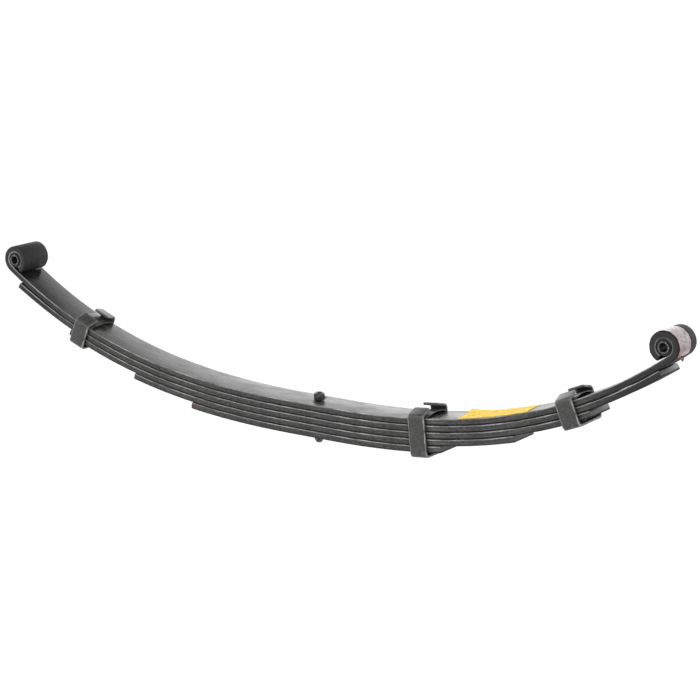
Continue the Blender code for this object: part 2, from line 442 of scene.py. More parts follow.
@dataclass(frozen=True)
class SatinBlackPaint:
    """Black air-drying paint, dipped over hot-rolled bar: a thin satin coat that shows the mill surface.

    It gives soft grey reflections on the flats, with brushed-off streaks along the bar. Along the upper
    edges it has pale specks: a painted highlight where the rounded edge catches the light, broken up
    like rubbed wear where bundles knock together. A leaf in a pack also has a thicker, blacker and
    glossier coat at its ends, from dipping, and a near-black, rougher band along its lower edge, which is
    painted shade for the dark gap between leaves.
    """

    name: str
    coat: str = "#1f1f20"
    dust: str = "#5b5957"
    # Painted highlight colour for the upper edges, partly rubbed wear.
    rub_highlight: str = "#b4b2ae"
    # Painted shade colour for the dark gap along the lower edge.
    gap_shade: str = "#050505"
    thick_coat: str = "#0b0b0c"
    rust: str = "#6a3a2c"
    in_pack: bool = True
    rusty_end: float = 0.0
    # Where the painted upper-edge highlight lies on the stock.
    rub_highlight_axis: str = "Y"
    rub_highlight_reach: tuple[float, float] = (0.02985, 0.031085)
    rub_highlight_height: tuple[float, float] = (-0.002185, -0.000855)
    # Where the painted shade along the lower edge lies on the stock.
    gap_shade_height: tuple[float, float] = (-0.0079, -0.0094)
    thick_reach: tuple[float, float] = (0.46, 0.60)
    thick_share: float = 0.8
    rust_share: float = 0.75
    rough_range: tuple[float, float] = (0.19, 0.36)
    streaks: Patches = Patches((90.0, 3.5, 3.5), 5.0, 0.6, 0.42, 0.78)
    blotches: Patches = Patches((61.6, 28.0, 28.0), 4.0)
    mottle: Patches = Patches((7.0, 2.4, 2.4), 5.0, 0.75, 0.44, 0.68, 0.0, 0.45)
    specks: Patches = Patches((26.0, 3.0, 3.0), 6.0, 0.7, 0.36, 0.74, 0.10, 0.85)
    rust_spots: Patches = Patches((9.0, 5.0, 5.0), 5.0, 0.55, 0.38, 0.6)
    waves: Patches = Patches((22.0, 12.0, 12.0), 2.0)
    grain: Patches = Patches((3.2, 1.6, 1.6), 4.0, 0.6)  # real grain is near 0.3 mm, coarser here to show
    grain_share: float = 0.35
    relief_mm: float = 0.16

    def band(self, tree: bpy.types.NodeTree, axis: str, levels: tuple[float, float], both: bool) -> Socket:
        """Mask of a band along the bar.

        Args:
            tree: Node tree to add to.
            axis: Axis that the band is measured on.
            levels: Where the band starts and where it is full.
            both: Whether both sides of the bar have it.

        Returns:
            Mask from 0 to 1.
        """
        place = stock_axis(tree, axis)
        if both:
            place = add_node(tree, "Math", {0: place}, operation="ABSOLUTE")
        return add_node(tree, "MapRange", {0: place, 1: levels[0], 2: levels[1]}, **SMOOTH)

    def build(self) -> bpy.types.Material:
        """Make the material.

        Returns:
            The finish.
        """
        material, tree, shader = new_material(self.name)
        add = partial(add_node, tree)
        blotches = self.blotches.add(tree)
        patchy = add("MapRange", {0: blotches, 1: 0.35, 2: 0.7}, **SMOOTH)
        worn = add("Math", {0: self.streaks.add(tree), 1: patchy}, **TIMES)
        # Painted highlight along the upper edges, broken into specks like rubbed wear.
        edge = self.band(tree, self.rub_highlight_axis, self.rub_highlight_reach, True)
        line = add("Math", {0: edge, 1: self.band(tree, "Z", self.rub_highlight_height, False)}, **TIMES)
        rub_highlight = add("Math", {0: line, 1: self.specks.add(tree)}, **TIMES)
        mottle = self.mottle.add(tree)
        smooth, coarse = self.rough_range
        rough = add("MapRange", {0: blotches, 1: 0.25, 2: 0.75, 3: smooth, 4: coarse}, **SMOOTH)
        rough = add("Math", {0: rough, 1: add("Math", {0: worn, 1: 0.10}, **TIMES)}, operation="ADD")
        layers = [(worn, self.dust), (mottle, self.dust), (rub_highlight, self.rub_highlight)]
        if self.in_pack:
            ends = self.band(tree, "X", self.thick_reach, True)
            thick = add("Math", {0: ends, 1: self.thick_share}, **TIMES)
            thin = add("Math", {0: 1.0, 1: thick}, operation="SUBTRACT")
            layers[1] = (add("Math", {0: mottle, 1: thin}, **TIMES), self.dust)
            layers.insert(1, (thick, self.thick_coat))
            glossier = add("Math", {0: thick, 1: 0.10}, **TIMES)
            rough = add("Math", {0: rough, 1: glossier}, operation="SUBTRACT")
            # Painted shade: a near-black, rougher band along the lower edge, for the dark gap between leaves.
            gap_shade = self.band(tree, "Z", self.gap_shade_height, False)
            layers.append((gap_shade, self.gap_shade))
            rough = add("Math", {0: rough, 1: add("Math", {0: gap_shade, 1: 0.5}, **TIMES)}, operation="ADD")
        if self.rusty_end:
            reach = self.band(tree, "X", (self.rusty_end * 0.90, self.rusty_end), False)
            spots = add("Math", {0: reach, 1: self.rust_spots.add(tree)}, **TIMES)
            layers.append((add("Math", {0: spots, 1: self.rust_share}, **TIMES), self.rust))
        colour = linear(self.coat)
        for share, code in layers:
            colour = add("Mix", {0: share, 6: colour, 7: linear(code)}, MIXED, **COLOURS)
        fine = add("Math", {0: self.grain.add(tree), 1: self.grain_share}, **TIMES)
        height = add("Math", {0: fine, 1: self.waves.add(tree)}, operation="ADD")
        relief = add("Bump", {"Height": height, "Strength": 1.0, "Distance": self.relief_mm / 1000})
        feed(shader, {"Base Color": colour, "Roughness": rough, "Normal": relief})
        feed(shader, {"IOR": 1.52, "Specular IOR Level": 0.36})
        return material


@dataclass(frozen=True)
class StrapPaint(SatinBlackPaint):
    """The same paint on sheared strap, with its coat painted a lighter grey to stand in for the light on
    the clip walls, a painted highlight along both outer edges broken up like rubbed wear, and, with no
    neighbour against it, no painted shade along a lower edge.
    """

    # Painted light: a lighter grey than the leaves' coat, so that the clip walls show lit.
    coat: str = "#2b2b2b"
    in_pack: bool = False
    # Painted highlight along the strap's outer edges, partly rubbed wear.
    rub_highlight_axis: str = "X"
    rub_highlight_reach: tuple[float, float] = (0.0131, 0.01478)
    rub_highlight_height: tuple[float, float] = (-0.00161, -0.00345)
    rough_range: tuple[float, float] = (0.23, 0.40)
    streaks: Patches = Patches((6.0, 30.0, 6.0), 5.0, 0.6, 0.42, 0.78)
    blotches: Patches = Patches((26.4, 12.0, 12.0), 4.0)
    specks: Patches = Patches((3.0, 12.0, 3.0), 5.0, 0.7, 0.40, 0.72, 0.08, 0.8)


@dataclass(frozen=True)
class MetalFinish:
    """Bare steel parts with a thin dark conversion coat: oiled black oxide, or matt grey phosphate.

    The coat wears through on corners, so the metal shows brighter in small patches.
    """

    name: str
    coat: str
    worn: str
    roughness: float
    metallic: float = 0.85
    patches: Patches = Patches((4.0, 4.0, 4.0), 5.0, 0.6)
    grain: Patches = Patches((0.9, 0.9, 0.9))
    relief_mm: float = 0.05

    def build(self) -> bpy.types.Material:
        """Make the material.

        Returns:
            The finish.
        """
        material, tree, shader = new_material(self.name)
        add = partial(add_node, tree)
        patches = self.patches.add(tree)
        worn = add("MapRange", {0: patches, 1: 0.50, 2: 0.74}, **SMOOTH)
        colour = add("Mix", {0: worn, 6: linear(self.coat), 7: linear(self.worn)}, MIXED, **COLOURS)
        dull, bright = self.roughness + 0.12, self.roughness - 0.05
        rough = add("MapRange", {0: patches, 1: 0.3, 2: 0.7, 3: dull, 4: bright}, **SMOOTH)
        grain = self.grain.add(tree)
        relief = add("Bump", {"Height": grain, "Strength": 1.0, "Distance": self.relief_mm / 1000})
        feed(shader, {"Base Color": colour, "Roughness": rough, "Normal": relief})
        feed(shader, {"Metallic": self.metallic})
        return material


@dataclass(frozen=True)
class MouldedRubber:
    """Moulded natural rubber: near black, with a pale bloom of wax and mould dust in the grooves."""

    name: str = "moulded_rubber"
    black: str = "#151515"
    bloom: str = "#474644"
    dust: Patches = Patches((5.0, 5.0, 5.0), 5.0, 0.65, 0.44, 0.75)
    grain: Patches = Patches((0.8, 0.8, 0.8))
    relief_mm: float = 0.06

    def build(self) -> bpy.types.Material:
        """Make the material.

        Returns:
            The finish.
        """
        material, tree, shader = new_material(self.name)
        add = partial(add_node, tree)
        dust = self.dust.add(tree)
        colour = add("Mix", {0: dust, 6: linear(self.black), 7: linear(self.bloom)}, MIXED, **COLOURS)
        rough = add("MapRange", {0: dust, 1: 0.0, 2: 1.0, 3: 0.48, 4: 0.72}, **SMOOTH)
        grain = self.grain.add(tree)
        relief = add("Bump", {"Height": grain, "Strength": 1.0, "Distance": self.relief_mm / 1000})
        feed(shader, {"Base Color": colour, "Roughness": rough, "Normal": relief, "IOR": 1.52})
        return material


@dataclass(frozen=True)
class LabelVinyl:
    """Self-adhesive yellow vinyl with worn orange print bars and smudges: plain marks, no wording."""

    name: str = "label_vinyl"
    yellow: str = "#f0c41c"
    pale: str = "#f5d552"
    orange: str = "#a8671c"
    ink: str = "#4e3a2a"
    bar_pitch_mm: float = 13.0
    bar_share: float = 0.30
    print_edge: tuple[float, float] = (0.026, 0.024)
    bar_strength: float = 0.85
    smudge_strength: float = 0.8
    fade: Patches = Patches((30.0, 18.0, 18.0), 4.0, 0.55, 0.35, 0.7)
    breaks: Patches = Patches((5.0, 9.0, 9.0), 3.0, 0.55, 0.46, 0.52)
    smudges: Patches = Patches((8.0, 7.0, 7.0), 5.0, 0.7, 0.57, 0.66)
    ripple: Patches = Patches((16.0, 10.0, 10.0))
    relief_mm: float = 0.25

    def build(self) -> bpy.types.Material:
        """Make the material.

        Returns:
            The finish.
        """
        material, tree, shader = new_material(self.name)
        add = partial(add_node, tree)
        across = stock_axis(tree, "Y")
        rows = add("Math", {0: across, 1: self.bar_pitch_mm / 1000}, operation="DIVIDE")
        phase = add("Math", {0: rows}, operation="FRACT")
        bars = add("Math", {0: phase, 1: self.bar_share}, operation="LESS_THAN")
        broken = add("Math", {0: bars, 1: self.breaks.add(tree)}, **TIMES)
        off_middle = add("Math", {0: across}, operation="ABSOLUTE")
        start, end = self.print_edge
        inset = add("MapRange", {0: off_middle, 1: start, 2: end}, **SMOOTH)
        marks = add("Math", {0: broken, 1: inset}, **TIMES)
        printed = add("Math", {0: marks, 1: self.bar_strength}, **TIMES)
        smudged = add("Math", {0: self.smudges.add(tree), 1: self.smudge_strength}, **TIMES)
        colour = linear(self.yellow)
        for share, code in ((self.fade.add(tree), self.pale), (printed, self.orange), (smudged, self.ink)):
            colour = add("Mix", {0: share, 6: colour, 7: linear(code)}, MIXED, **COLOURS)
        ripple = self.ripple.add(tree)
        relief = add("Bump", {"Height": ripple, "Strength": 1.0, "Distance": self.relief_mm / 1000})
        feed(shader, {"Base Color": colour, "Normal": relief})
        feed(shader, {"Roughness": 0.62, "IOR": 1.5, "Specular IOR Level": 0.22})
        return material


@dataclass(frozen=True)
class PackingTape:
    """Clear polypropylene tape over dark steel: milky where air is trapped, amber where glue runs."""

    name: str = "packing_tape"
    milky: str = "#8b8087"
    clear: str = "#3b3639"
    amber: str = "#7a4420"
    front_reach: tuple[float, float] = (0.004, -0.024)
    crease_width: tuple[float, float] = (0.075, 0.02)
    air: Patches = Patches((9.0, 16.0, 9.0), 5.0, 0.6, 0.34, 0.62)
    creases: Patches = Patches((3.5, 7.0, 7.0), 4.0, 0.65)
    relief_mm: float = 0.8

    def build(self) -> bpy.types.Material:
        """Make the material.

        Returns:
            The finish.
        """
        material, tree, shader = new_material(self.name)
        add = partial(add_node, tree)
        creases = self.creases.add(tree)
        middle = add("Math", {0: creases, 1: 0.5}, operation="SUBTRACT")
        fold = add("Math", {0: middle}, operation="ABSOLUTE")
        wide, narrow = self.crease_width
        lines = add("MapRange", {0: fold, 1: wide, 2: narrow}, **SMOOTH)
        start, end = self.front_reach
        front = add("MapRange", {0: stock_axis(tree, "Y"), 1: start, 2: end}, **SMOOTH)
        runs = add("MapRange", {0: front, 1: 0.0, 2: 1.0, 3: 0.25, 4: 1.0}, **SMOOTH)
        glue = add("Math", {0: lines, 1: runs}, **TIMES)
        colour = linear(self.clear)
        for share, code in ((self.air.add(tree), self.milky), (glue, self.amber)):
            colour = add("Mix", {0: share, 6: colour, 7: linear(code)}, MIXED, **COLOURS)
        relief = add("Bump", {"Height": creases, "Strength": 1.0, "Distance": self.relief_mm / 1000})
        feed(shader, {"Base Color": colour, "Normal": relief})
        feed(shader, {"Roughness": 0.22, "IOR": 1.49, "Coat Weight": 0.35, "Coat Roughness": 0.12})
        return material


# ---------------------------------------------------------------- the spring's line


@dataclass
class SpringLine:
    """The curve that the main leaf's top follows, from which every other piece is placed."""

    seat_half_length: float = 0.045
    left_camber: tuple[float, float, float] = (0.240, 0.172, 0.217)
    right_camber: tuple[float, float, float] = (0.260, 0.195, 0.228)
    pitch: float = 0.0115
    thickness: float = 0.0109
    width: float = 0.0635
    eye_reach: dict[Side, float] = field(default_factory=lambda: {Side.LEFT: 0.6566, Side.RIGHT: 0.6592})
    eye_inner_radius: float = 0.0140
    blend_start: float = 0.05
    blend_end: float = 0.61

    def __post_init__(self) -> None:
        """Take the height of the main leaf's top from the seated nut."""
        self.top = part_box("centre_nut")[0].z - FIT_GAP

    def rise(self, x: float) -> float:
        """Height of the main leaf's top over its seat.

        Args:
            x: Place along the spring.

        Returns:
            The height.
        """
        run = max(abs(x) - self.seat_half_length, 0.0)
        square, cube, fourth = self.left_camber if x < 0 else self.right_camber
        return square * run**2 + cube * run**3 + fourth * run**4

    def at(self, x: float) -> tuple[Vector, Vector, Vector]:
        """Find the leaf's frame.

        Args:
            x: Place along the spring.

        Returns:
            Point on the top face, tangent towards +X, and upward normal.
        """
        step = 0.0005
        angle = math.atan((self.rise(x + step) - self.rise(x - step)) / (2 * step))
        point = Vector((x, 0.0, self.top + self.rise(x)))
        tangent = Vector((math.cos(angle), 0.0, math.sin(angle)))
        normal = Vector((-math.sin(angle), 0.0, math.cos(angle)))
        return point, tangent, normal

    def on_leaf(self, x: float, y: float, height: float) -> Vector:
        """Place at a height over the main leaf's top, measured along its normal."""
        point, _, normal = self.at(x)
        return point + normal * height + Vector((0.0, y, 0.0))

    def eye_frame(self, side: Side) -> tuple[Vector, Vector, Vector]:
        """Find one eye.

        Args:
            side: Which arm.

        Returns:
            Centre, outward direction along the leaf, and the leaf's normal there.
        """
        point, tangent, normal = self.at(side.value * self.eye_reach[side])
        return point + normal * self.eye_inner_radius, tangent * side.value, normal

    def round_eye(self, side: Side, angle: float, radius: float, y: float) -> Vector:
        """Place round an eye; angle 0 is under it, and it grows outwards, over the top and back in.

        Args:
            side: Which arm.
            angle: How far round.
            radius: Distance from the eye's axis.
            y: Place across the spring.

        Returns:
            The place.
        """
        centre, outward, normal = self.eye_frame(side)
        spoke = outward * math.sin(angle) - normal * math.cos(angle)
        return centre + spoke * radius + Vector((0.0, y, 0.0))

    def flex(self, obj: bpy.types.Object, side: Side) -> None:
        """Bake a finished piece's placement into its mesh.

        Args:
            obj: Finished piece.
            side: Which arm; not used.
        """
        side.end_body
        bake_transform(obj)


# ---------------------------------------------------------------- leaves


@dataclass
class LeafPack:
    """The five leaves, each as two arms that meet at the centre bolt."""

    line: SpringLine
    reach: dict[str, tuple[float, float]] = field(
        default_factory=lambda: {
            "second_leaf": (0.630, 0.637),
            "third_leaf": (0.511, 0.518),
            "fourth_leaf": (0.366, 0.385),
            "fifth_leaf": (0.242, 0.253),
        }
    )
    tip_standoff: dict[Side, float] = field(default_factory=lambda: {Side.LEFT: 0.0028, Side.RIGHT: 0.0})
    standoff_start: float = 0.50
    edge_radius: float = 0.0012
    lower_edge_radius: float = 0.0024
    edge_segments: int = 4
    end_radius: float = 0.0009
    slice_pitch: float = 0.008
    eye_sweep: float = math.radians(299)
    eye_slice: float = math.radians(4.5)
    hole_radius: float = 0.0059

    def bar(
        self, side: Side, length: float, places: list[float], lowest: bool = False
    ) -> bmesh.types.BMesh:
        """Make one arm's straight bar, from the bolt outwards.

        Args:
            side: Which arm.
            length: Its length.
            places: Where it is sliced, as distances from the bolt.
            lowest: Whether nothing lies under it, so that its lower edges are rounded less.

        Returns:
            The bar, its top at height 0.
        """
        half = self.line.width / 2
        low = Vector((min(0.0, side.value * length), -half, -self.line.thickness))
        high = Vector((max(0.0, side.value * length), half, 0.0))
        bm = block(low, high)
        deep = -self.line.thickness * 0.9
        low_edge = self.edge_radius if lowest else self.lower_edge_radius
        round_edges(
            bm,
            lambda edge: runs_along(edge, 0) and edge.verts[0].co.z > deep,
            self.edge_radius,
            self.edge_segments,
        )
        round_edges(
            bm,
            lambda edge: runs_along(edge, 0) and edge.verts[0].co.z < deep,
            low_edge,
            self.edge_segments,
        )
        tip = side.value * length
        round_edges(
            bm,
            lambda edge: all(abs(vert.co.x - tip) < 1e-6 for vert in edge.verts),
            self.end_radius,
            2,
        )
        slice_along(bm, 0, [side.value * place for place in places])
        return bm

    def notch(self, obj: bpy.types.Object) -> None:
        """Cut the centre bolt's hole out of an arm's inner end.

        Args:
            obj: The arm, which is changed.
        """
        cutter_mesh = bmesh.new()
        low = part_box("centre_bolt")[0].z - 0.01
        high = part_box("centre_bolt")[1].z + 0.01
        bmesh.ops.create_cone(
            cutter_mesh,
            cap_ends=True,
            segments=48,
            radius1=self.hole_radius,
            radius2=self.hole_radius,
            depth=high - low,
            matrix=Matrix.Translation((0.0, 0.0, (low + high) / 2)),
        )
        cutter = link("bolt_hole_cutter", cutter_mesh)
        modifier = obj.modifiers.new("bolt_hole", "BOOLEAN")
        modifier.operation = "DIFFERENCE"
        modifier.object = cutter
        evaluated = obj.evaluated_get(bpy.context.evaluated_depsgraph_get())
        mesh = bpy.data.meshes.new_from_object(evaluated)
        obj.modifiers.clear()
        obj.data = mesh
        mesh.name = obj.name
        bpy.data.objects.remove(cutter)

    def standoff(self, x: float) -> float:
        """Gap that opens between the second leaf's free tips and the main leaf."""
        run = max(abs(x) - self.standoff_start, 0.0) / (self.reach["second_leaf"][1] - self.standoff_start)
        return self.tip_standoff[Side.LEFT if x < 0 else Side.RIGHT] * run**2

    def main_arm(self, side: Side) -> bpy.types.Object:
        """Make one arm of the main leaf, with its rolled eye.

        Args:
            side: Which arm.

        Returns:
            The arm.
        """
        straight = self.line.eye_reach[side]
        radius = self.line.eye_inner_radius
        roll = self.eye_sweep * radius
        places = steps(0.0, straight, self.slice_pitch) + [straight]
        places += steps(straight, straight + roll, self.eye_slice * radius)
        bm = self.bar(side, straight + roll, places)
        keep_stock_places(bm)

        def place(co: Vector) -> Vector:
            """Bend along the arm, then round the eye.

            Args:
                co: Place on the straight stock.

            Returns:
                Its place on the bent arm.
            """
            distance = abs(co.x)
            if distance <= straight:
                return self.line.on_leaf(co.x, co.y, co.z)
            angle = (distance - straight) / radius
            return self.line.round_eye(side, angle, radius - co.z, co.y)

        bend(bm, place)
        return link(f"main_leaf_{side.label}_arm", bm)

    def plain_arm(self, name: str, order: int, side: Side) -> bpy.types.Object:
        """Make one arm of a leaf under the main leaf.

        Args:
            name: CAD node that it stands for.
            order: Its place in the pack, counted from the main leaf.
            side: Which arm.

        Returns:
            The arm.
        """
        length = self.reach[name][0 if side is Side.LEFT else 1]
        bm = self.bar(side, length, steps(0.0, length, self.slice_pitch), name == "fifth_leaf")
        keep_stock_places(bm)
        drop = self.line.pitch * (order - 1)

        def place(co: Vector) -> Vector:
            """Bend along the arm, below the leaves above it."""
            extra = self.standoff(co.x) if order == 2 else 0.0
            return self.line.on_leaf(co.x, co.y, co.z - drop - extra)

        bend(bm, place)
        return link(f"{name}_{side.label}_arm", bm)

    def build(self) -> None:
        """Make and dress every arm."""
        paint = SatinBlackPaint("satin_black_paint").build()
        rusted = SatinBlackPaint(
            "satin_black_paint_rusted_tip", rusty_end=-self.reach["fifth_leaf"][0]
        ).build()
        for side in Side:
            arms = {"main_leaf": self.main_arm(side)}
            for order, name in enumerate(self.reach, start=2):
                arms[name] = self.plain_arm(name, order, side)
            for name, arm in arms.items():
                self.notch(arm)
                rusty = name == "fifth_leaf" and side is Side.LEFT
                arm.data.materials.clear()
                arm.data.materials.append(rusted if rusty else paint)
                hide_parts(name)
                self.line.flex(arm, side)
                LOG.info("made %s, %d faces", arm.name, len(arm.data.polygons))


# ---------------------------------------------------------------- clips


class BendLine:
    """A flat line of straights and left-hand bends, as a strap is folded on a brake."""

    def __init__(self, corners: list[tuple[float, float]], radius: float) -> None:
        """Lay out the line.

        Args:
            corners: Sharp corners of the inner line.
            radius: Inner radius of every bend.
        """
        points = [Vector(corner) for corner in corners]
        self.pieces: list[tuple[str, float, Vector, float, float]] = []
        self.radius = radius
        start = points[0]
        for before, corner, after in zip(points, points[1:], points[2:]):
            incoming = (corner - before).normalized()
            outgoing = (after - corner).normalized()
            turn = incoming.angle(outgoing)
            reach = radius * math.tan(turn / 2)
            heading = math.atan2(incoming.y, incoming.x)
            stop = corner - incoming * reach
            self.pieces.append(("straight", (stop - start).length, start, heading, 0.0))
            self.pieces.append(("bend", radius * turn, stop, heading, turn))
            start = corner + outgoing * reach
        final = points[-1] - start
        self.pieces.append(("straight", final.length, start, math.atan2(final.y, final.x), 0.0))
        self.length = sum(piece[1] for piece in self.pieces)

    def slices(self, pitch: float, bend_steps: int) -> list[float]:
        """Places to slice the stock: finely in the bends, and coarsely between.

        Args:
            pitch: Spacing on the straights.
            bend_steps: Steps across a bend.

        Returns:
            Distances from the start.
        """
        made: list[float] = []
        travelled = 0.0
        for kind, length, *_ in self.pieces:
            spacing = pitch if kind == "straight" else length / bend_steps
            made += steps(travelled, travelled + length, spacing) + [travelled + length]
            travelled += length
        return made[:-1]

    def at(self, distance: float, depth: float) -> tuple[float, float]:
        """Find a point of the folded strap.

        Args:
            distance: Distance along the inner line.
            depth: Depth outwards, through the strap's thickness.

        Returns:
            Place across the spring, and height.
        """
        left = min(max(distance, 0.0), self.length)
        for kind, length, start, heading, turn in self.pieces:
            if left <= length or (kind, length) == self.pieces[-1][:2]:
                break
            left -= length
        if kind == "bend":
            share = left / length
            centre = start + Vector((-math.sin(heading), math.cos(heading))) * self.radius
            angle = heading - math.pi / 2 + turn * share
            point = centre + Vector((math.cos(angle), math.sin(angle))) * (self.radius + depth)
            return point.x, point.y
        point = start + Vector((math.cos(heading), math.sin(heading))) * left
        point += Vector((math.sin(heading), -math.cos(heading))) * depth
        return point.x, point.y


@dataclass
class ReboundClip:
    """A folded strap round the pack, with a bowed liner under its flaps and a rivet under its base."""

    name: str
    x: float
    held: int
    line: SpringLine
    width: float = 0.0310
    thickness: float = 0.0046
    side_gap: float = 0.0016
    bend_radius: float = 0.0035
    front_rise: float = 0.0030
    rear_rise: float = 0.0075
    front_flap: tuple[float, float] = (0.021, 0.0075)
    rear_flap: tuple[float, float] = (0.024, 0.0055)
    tip_radius: float = 0.0050
    edge_radius: float = 0.0012
    liner_thickness: float = 0.0016
    liner_bow: float = 0.0046
    liner_overhang: float = 0.0030
    rivet_radius: float = 0.0075
    rivet_height: float = 0.0040

    @property
    def side(self) -> Side:
        """Arm that the clip sits on."""
        return Side.LEFT if self.x < 0 else Side.RIGHT

    def place(self, along: float, across: float, height: float) -> Vector:
        """Move from the clip's own frame, on the main leaf's top, to the spring's frame."""
        point, tangent, normal = self.line.at(self.x)
        return point + tangent * along + normal * height + Vector((0.0, across, 0.0))

    def strap(self) -> bpy.types.Object:
        """Make the folded strap.

        Returns:
            The strap.
        """
        wall = self.line.width / 2 + self.side_gap
        depth = self.line.pitch * (self.held - 1) + self.line.thickness + self.rivet_height
        corners = [
            (-wall + self.front_flap[0], self.front_rise + self.front_flap[1]),
            (-wall, self.front_rise),
            (-wall, -depth),
            (wall, -depth),
            (wall, self.rear_rise),
            (wall - self.rear_flap[0], self.rear_rise + self.rear_flap[1]),
        ]
        fold = BendLine(corners, self.bend_radius)
        half = self.width / 2
        bm = block(Vector((-half, 0.0, -self.thickness)), Vector((half, fold.length, 0.0)))
        round_edges(bm, lambda edge: runs_along(edge, 2), self.tip_radius, 6)
        round_edges(
            bm,
            lambda edge: abs(edge.verts[0].co.z - edge.verts[1].co.z) < 1e-7,
            self.edge_radius,
            3,
        )
        slice_along(bm, 1, fold.slices(0.006, 7))
        keep_stock_places(bm)

        def place(co: Vector) -> Vector:
            """Fold the strap round the pack."""
            across, height = fold.at(co.y, -co.z)
            return self.place(co.x, across, height)

        bend(bm, place)
        return link(f"{self.name}_folded_strap", bm)

    def liner(self) -> bpy.types.Object:
        """Make the bowed liner plate.

        Returns:
            The liner.
        """
        half_width = self.line.width / 2 - 0.002
        half_length = self.width / 2 + self.liner_overhang
        bm = block(
            Vector((-half_length, -half_width, 0.0)), Vector((half_length, half_width, self.liner_thickness))
        )
        round_edges(bm, lambda edge: runs_along(edge, 2), 0.003, 5)
        round_edges(bm, lambda edge: abs(edge.verts[0].co.z - edge.verts[1].co.z) < 1e-7, 0.0004, 2)
        slice_along(bm, 1, steps(-half_width, half_width, 0.003))
        keep_stock_places(bm)

        def place(co: Vector) -> Vector:
            """Bow the plate up between its two long edges."""
            share = co.y / half_width
            return self.place(co.x, co.y, FIT_GAP + co.z + self.liner_bow * (1 - share**2))

        bend(bm, place)
        return link(f"{self.name}_bowed_liner", bm)

    def rivet(self) -> bpy.types.Object:
        """Make the rivet's head between the last leaf held and the strap.

        Returns:
            The rivet.
        """
        under = self.line.pitch * (self.held - 1) + self.line.thickness
        height = self.rivet_height - 2 * FIT_GAP
        corners = [
            (0.0, 0.0),
            (self.rivet_radius * 0.8, 0.0),
            (self.rivet_radius, -height * 0.35),
            (self.rivet_radius, -height),
            (0.0, -height),
        ]
        profile = rounded_profile(corners, {1: 0.0008, 2: 0.0006, 3: 0.0004}, closed=False)
        point, tangent, normal = self.line.at(self.x)
        turn = Matrix((tangent, (0.0, 1.0, 0.0), normal)).transposed().to_4x4()
        place = Matrix.Translation(point - normal * (under + FIT_GAP)) @ turn
        return turned(f"{self.name}_rivet_head", profile, place, 40)

    def build(self, paint: bpy.types.Material) -> None:
        """Make and dress the clip.

        Args:
            paint: Finish of all three pieces.
        """
        pieces = {"strap": self.strap(), "liner": self.liner(), "rivet": self.rivet()}
        for part, obj in pieces.items():
            obj.data.materials.append(paint)
            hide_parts(f"{self.name}_{part}")
            self.line.flex(obj, self.side)
            LOG.info("made %s, %d faces", obj.name, len(obj.data.polygons))


# ---------------------------------------------------------------- centre bolt


